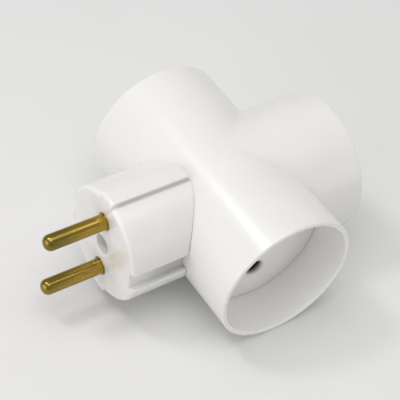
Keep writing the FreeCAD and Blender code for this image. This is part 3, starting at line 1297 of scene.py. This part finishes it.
@dataclass
class PlugPins:
    """The two turned pins, from the rounded tip to the riveted tail."""

    faces: int = 96
    parts: int = 9
    finish: TurnedBrass = field(default_factory=lambda: TurnedBrass("pin_turned_brass"))

    def build(self) -> None:
        """Make both pins and put each in its node's place."""
        material = self.finish.made()
        for pole in Pole:
            bench = Workbench()
            bench.spun(self.outline(), self.faces, self.parts)
            bench.moved(Matrix.Translation((0, 0, pole.height)))
            name = pole.name.lower()
            fitted(bench.closed(f"pin_{name}"), material, Slot.PIN, f"plug_pin_{name}")

    @staticmethod
    def outline() -> list[tuple[float, float, float]]:
        """The pin's corners from tip to tail: x, radius and rounding."""
        corners = [
            (-19.0, 0.0, 0), (-19.0, 2.4, 2.0), (-16.6, 2.4, 0), (-12.0, 2.4, 0), (-6.0, 2.4, 0),
            (-0.5, 2.4, 0), (0.0, 2.4, 0), (0.0, 2.75, 0.08), (8.0, 2.75, 0), (8.0, 3.5, 0.15),
            (9.5, 3.5, 0.15), (9.5, 2.0, 0), (15.0, 2.0, 0), (15.0, 1.4, 0), (16.5, 1.4, 0),
            (16.5, 2.3, 0.1), (17.4, 1.4, 0.3), (17.4, 0.0, 0),
        ]
        return [(x * MM, radius * MM, rounding * MM) for x, radius, rounding in corners]


@dataclass
class Insides:
    """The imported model's own nodes that stay in view through the holes."""

    brass: RolledBrass = field(default_factory=lambda: RolledBrass("contact_brass_rolled"))
    strips: RolledBrass = field(
        default_factory=lambda: RolledBrass(
            "strip_brass_rolled", bright=(0.66, 0.46, 0.17), dull=(0.36, 0.25, 0.09)
        )
    )
    rivets: RolledBrass = field(
        default_factory=lambda: RolledBrass(
            "rivet_brass_upset", bright=(0.74, 0.54, 0.22), dull=(0.50, 0.35, 0.12)
        )
    )
    steel: ZincPlate = field(default_factory=lambda: ZincPlate("screw_zinc_plate"))
    plastic: MattMoulding = field(default_factory=lambda: MattMoulding("barrier_matt"))

    def dress(self, nodes: dict[str, bpy.types.Object]) -> None:
        """Give each node a finish, by the start of its name.

        Args:
            nodes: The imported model's nodes by name.
        """
        finishes = {
            "contact_": self.brass.made(),
            "pole_strip_": self.strips.made(),
            "rivets_": self.rivets.made(),
            "pin_washer_": self.steel.made(),
            "base_screw": self.steel.made(),
            "barrier": self.plastic.made(),
            "housing": self.plastic.made(),
            "plug_base": self.plastic.made(),
            "outlet_floor_": self.plastic.made(),
            "plug_pin_": self.brass.made(),
        }
        for name, node in nodes.items():
            finish = next(made for start, made in finishes.items() if name.startswith(start))
            node.data.materials.clear()
            node.data.materials.append(finish)
            LOG.info("%s: %s", name, finish.name)


@dataclass(frozen=True)
class Lamp:
    """A soft square lamp that points at the crossing.

    azimuth is its direction from the crossing, in degrees from +X towards +Y, elevation its height
    above the horizon in degrees, size the length of its side in metres and power in watts.
    """

    name: str
    azimuth: float
    elevation: float
    distance: float
    size: float
    power: float
    tone: Colour

    def hang(self) -> None:
        """Put the lamp into the scene."""
        lamp = bpy.data.lights.new(self.name, "AREA")
        lamp.shape = "SQUARE"
        lamp.size = self.size
        lamp.energy = self.power
        lamp.color = self.tone
        a, e = math.radians(self.azimuth), math.radians(self.elevation)
        away = Vector((math.cos(a) * math.cos(e), math.sin(a) * math.cos(e), math.sin(e)))
        hung = bpy.data.objects.new(self.name, lamp)
        hung.location = CROSSING + away * self.distance
        hung.rotation_euler = away.to_track_quat("Z", "Y").to_euler()
        bpy.context.scene.collection.objects.link(hung)


@dataclass
class Studio:
    """The pale floor, the soft lights and the camera at the photograph's angle.

    The camera's azimuth is 0 on the right outlet's side. crossing_pixel is where the barrels' axes
    cross in the picture, and focal_pixels and frame_pixels are in the picture's pixels too.
    """

    lamps: tuple[Lamp, ...] = (
        Lamp("key", 134.5, 57.8, distance=0.95, size=0.17, power=1.4, tone=(1.0, 0.99, 0.97)),
        Lamp("left", 178, 8, distance=0.6, size=0.5, power=1.15, tone=(1.0, 0.99, 0.98)),
        Lamp("top", 218, 83, distance=0.5, size=0.40, power=1.02, tone=(1.0, 0.99, 0.985)),
        Lamp("mouth", 303, 11, distance=0.7, size=0.35, power=0.36, tone=(1.0, 0.995, 0.99)),
    )
    sky_tone: Colour = (1.0, 0.995, 0.985)
    sky_strength: float = 0.475
    floor_level: float = -22.0 * MM
    floor_half: float = 3.0
    azimuth: float = -40.825
    elevation: float = 46.15
    roll: float = 10.337
    distance: float = 0.400
    sensor: float = 36.0
    focal_pixels: float = 1342.34
    frame_pixels: float = 400.0
    crossing_pixel: tuple[float, float] = (218.4, 198.0)
    finish: PaleFloor = field(default_factory=lambda: PaleFloor("studio_paper"))

    def build(self) -> None:
        """Set the floor, the lights, the world and the camera."""
        self.lay_floor()
        for lamp in self.lamps:
            lamp.hang()
        self.sky()
        self.camera()

    def lay_floor(self) -> None:
        """A wide sheet under the barrels."""
        mesh = bmesh.new()
        level = Matrix.Translation((0, 0, self.floor_level))
        bmesh.ops.create_grid(
            mesh, x_segments=1, y_segments=1, size=self.floor_half, matrix=level
        )
        data = bpy.data.meshes.new("studio_floor")
        mesh.to_mesh(data)
        mesh.free()
        data.materials.append(self.finish.made())
        floor = bpy.data.objects.new("studio_floor", data)
        bpy.context.scene.collection.objects.link(floor)

    def sky(self) -> None:
        """An even pale surround."""
        world = bpy.data.worlds.new("studio_sky")
        world.use_nodes = True
        background = world.node_tree.nodes["Background"]
        background.inputs["Color"].default_value = (*self.sky_tone, 1.0)
        background.inputs["Strength"].default_value = self.sky_strength
        bpy.context.scene.world = world

    def camera(self) -> None:
        """Stand the camera where the photograph was taken from."""
        a, e, r = (math.radians(angle) for angle in (self.azimuth, self.elevation, self.roll))
        back = Vector((math.sin(a) * math.cos(e), -math.cos(a) * math.cos(e), math.sin(e)))
        level = Vector((math.cos(a), math.sin(a), 0))
        rise = back.cross(level)
        right = math.cos(r) * level + math.sin(r) * rise
        up = math.cos(r) * rise - math.sin(r) * level
        lens = bpy.data.cameras.new("camera")
        lens.sensor_width = self.sensor
        lens.lens = self.focal_pixels * self.sensor / self.frame_pixels
        middle = self.frame_pixels / 2
        lens.shift_x = (middle - self.crossing_pixel[0]) / self.frame_pixels
        lens.shift_y = (self.crossing_pixel[1] - middle) / self.frame_pixels
        lens.clip_start, lens.clip_end = 0.01, 20.0
        stand = bpy.data.objects.new("camera", lens)
        turn = Matrix((right, up, back)).transposed().to_4x4()
        stand.matrix_world = Matrix.Translation(CROSSING + back * self.distance) @ turn
        bpy.context.scene.collection.objects.link(stand)
        bpy.context.scene.camera = stand
        bpy.context.scene.view_settings.view_transform = "Standard"


def main() -> None:
    """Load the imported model, build every sub-assembly in order and note the sizes."""
    logging.basicConfig(level=logging.INFO, format="%(name)s %(message)s")
    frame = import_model()
    Insides().dress(frame["nodes"])
    for part in (Housing(), PlugBase(), OutletFloors(), PlugPins(), Studio()):
        part.build()
        LOG.info("%s is done", type(part).__name__)


if __name__ == "__main__":
    main()
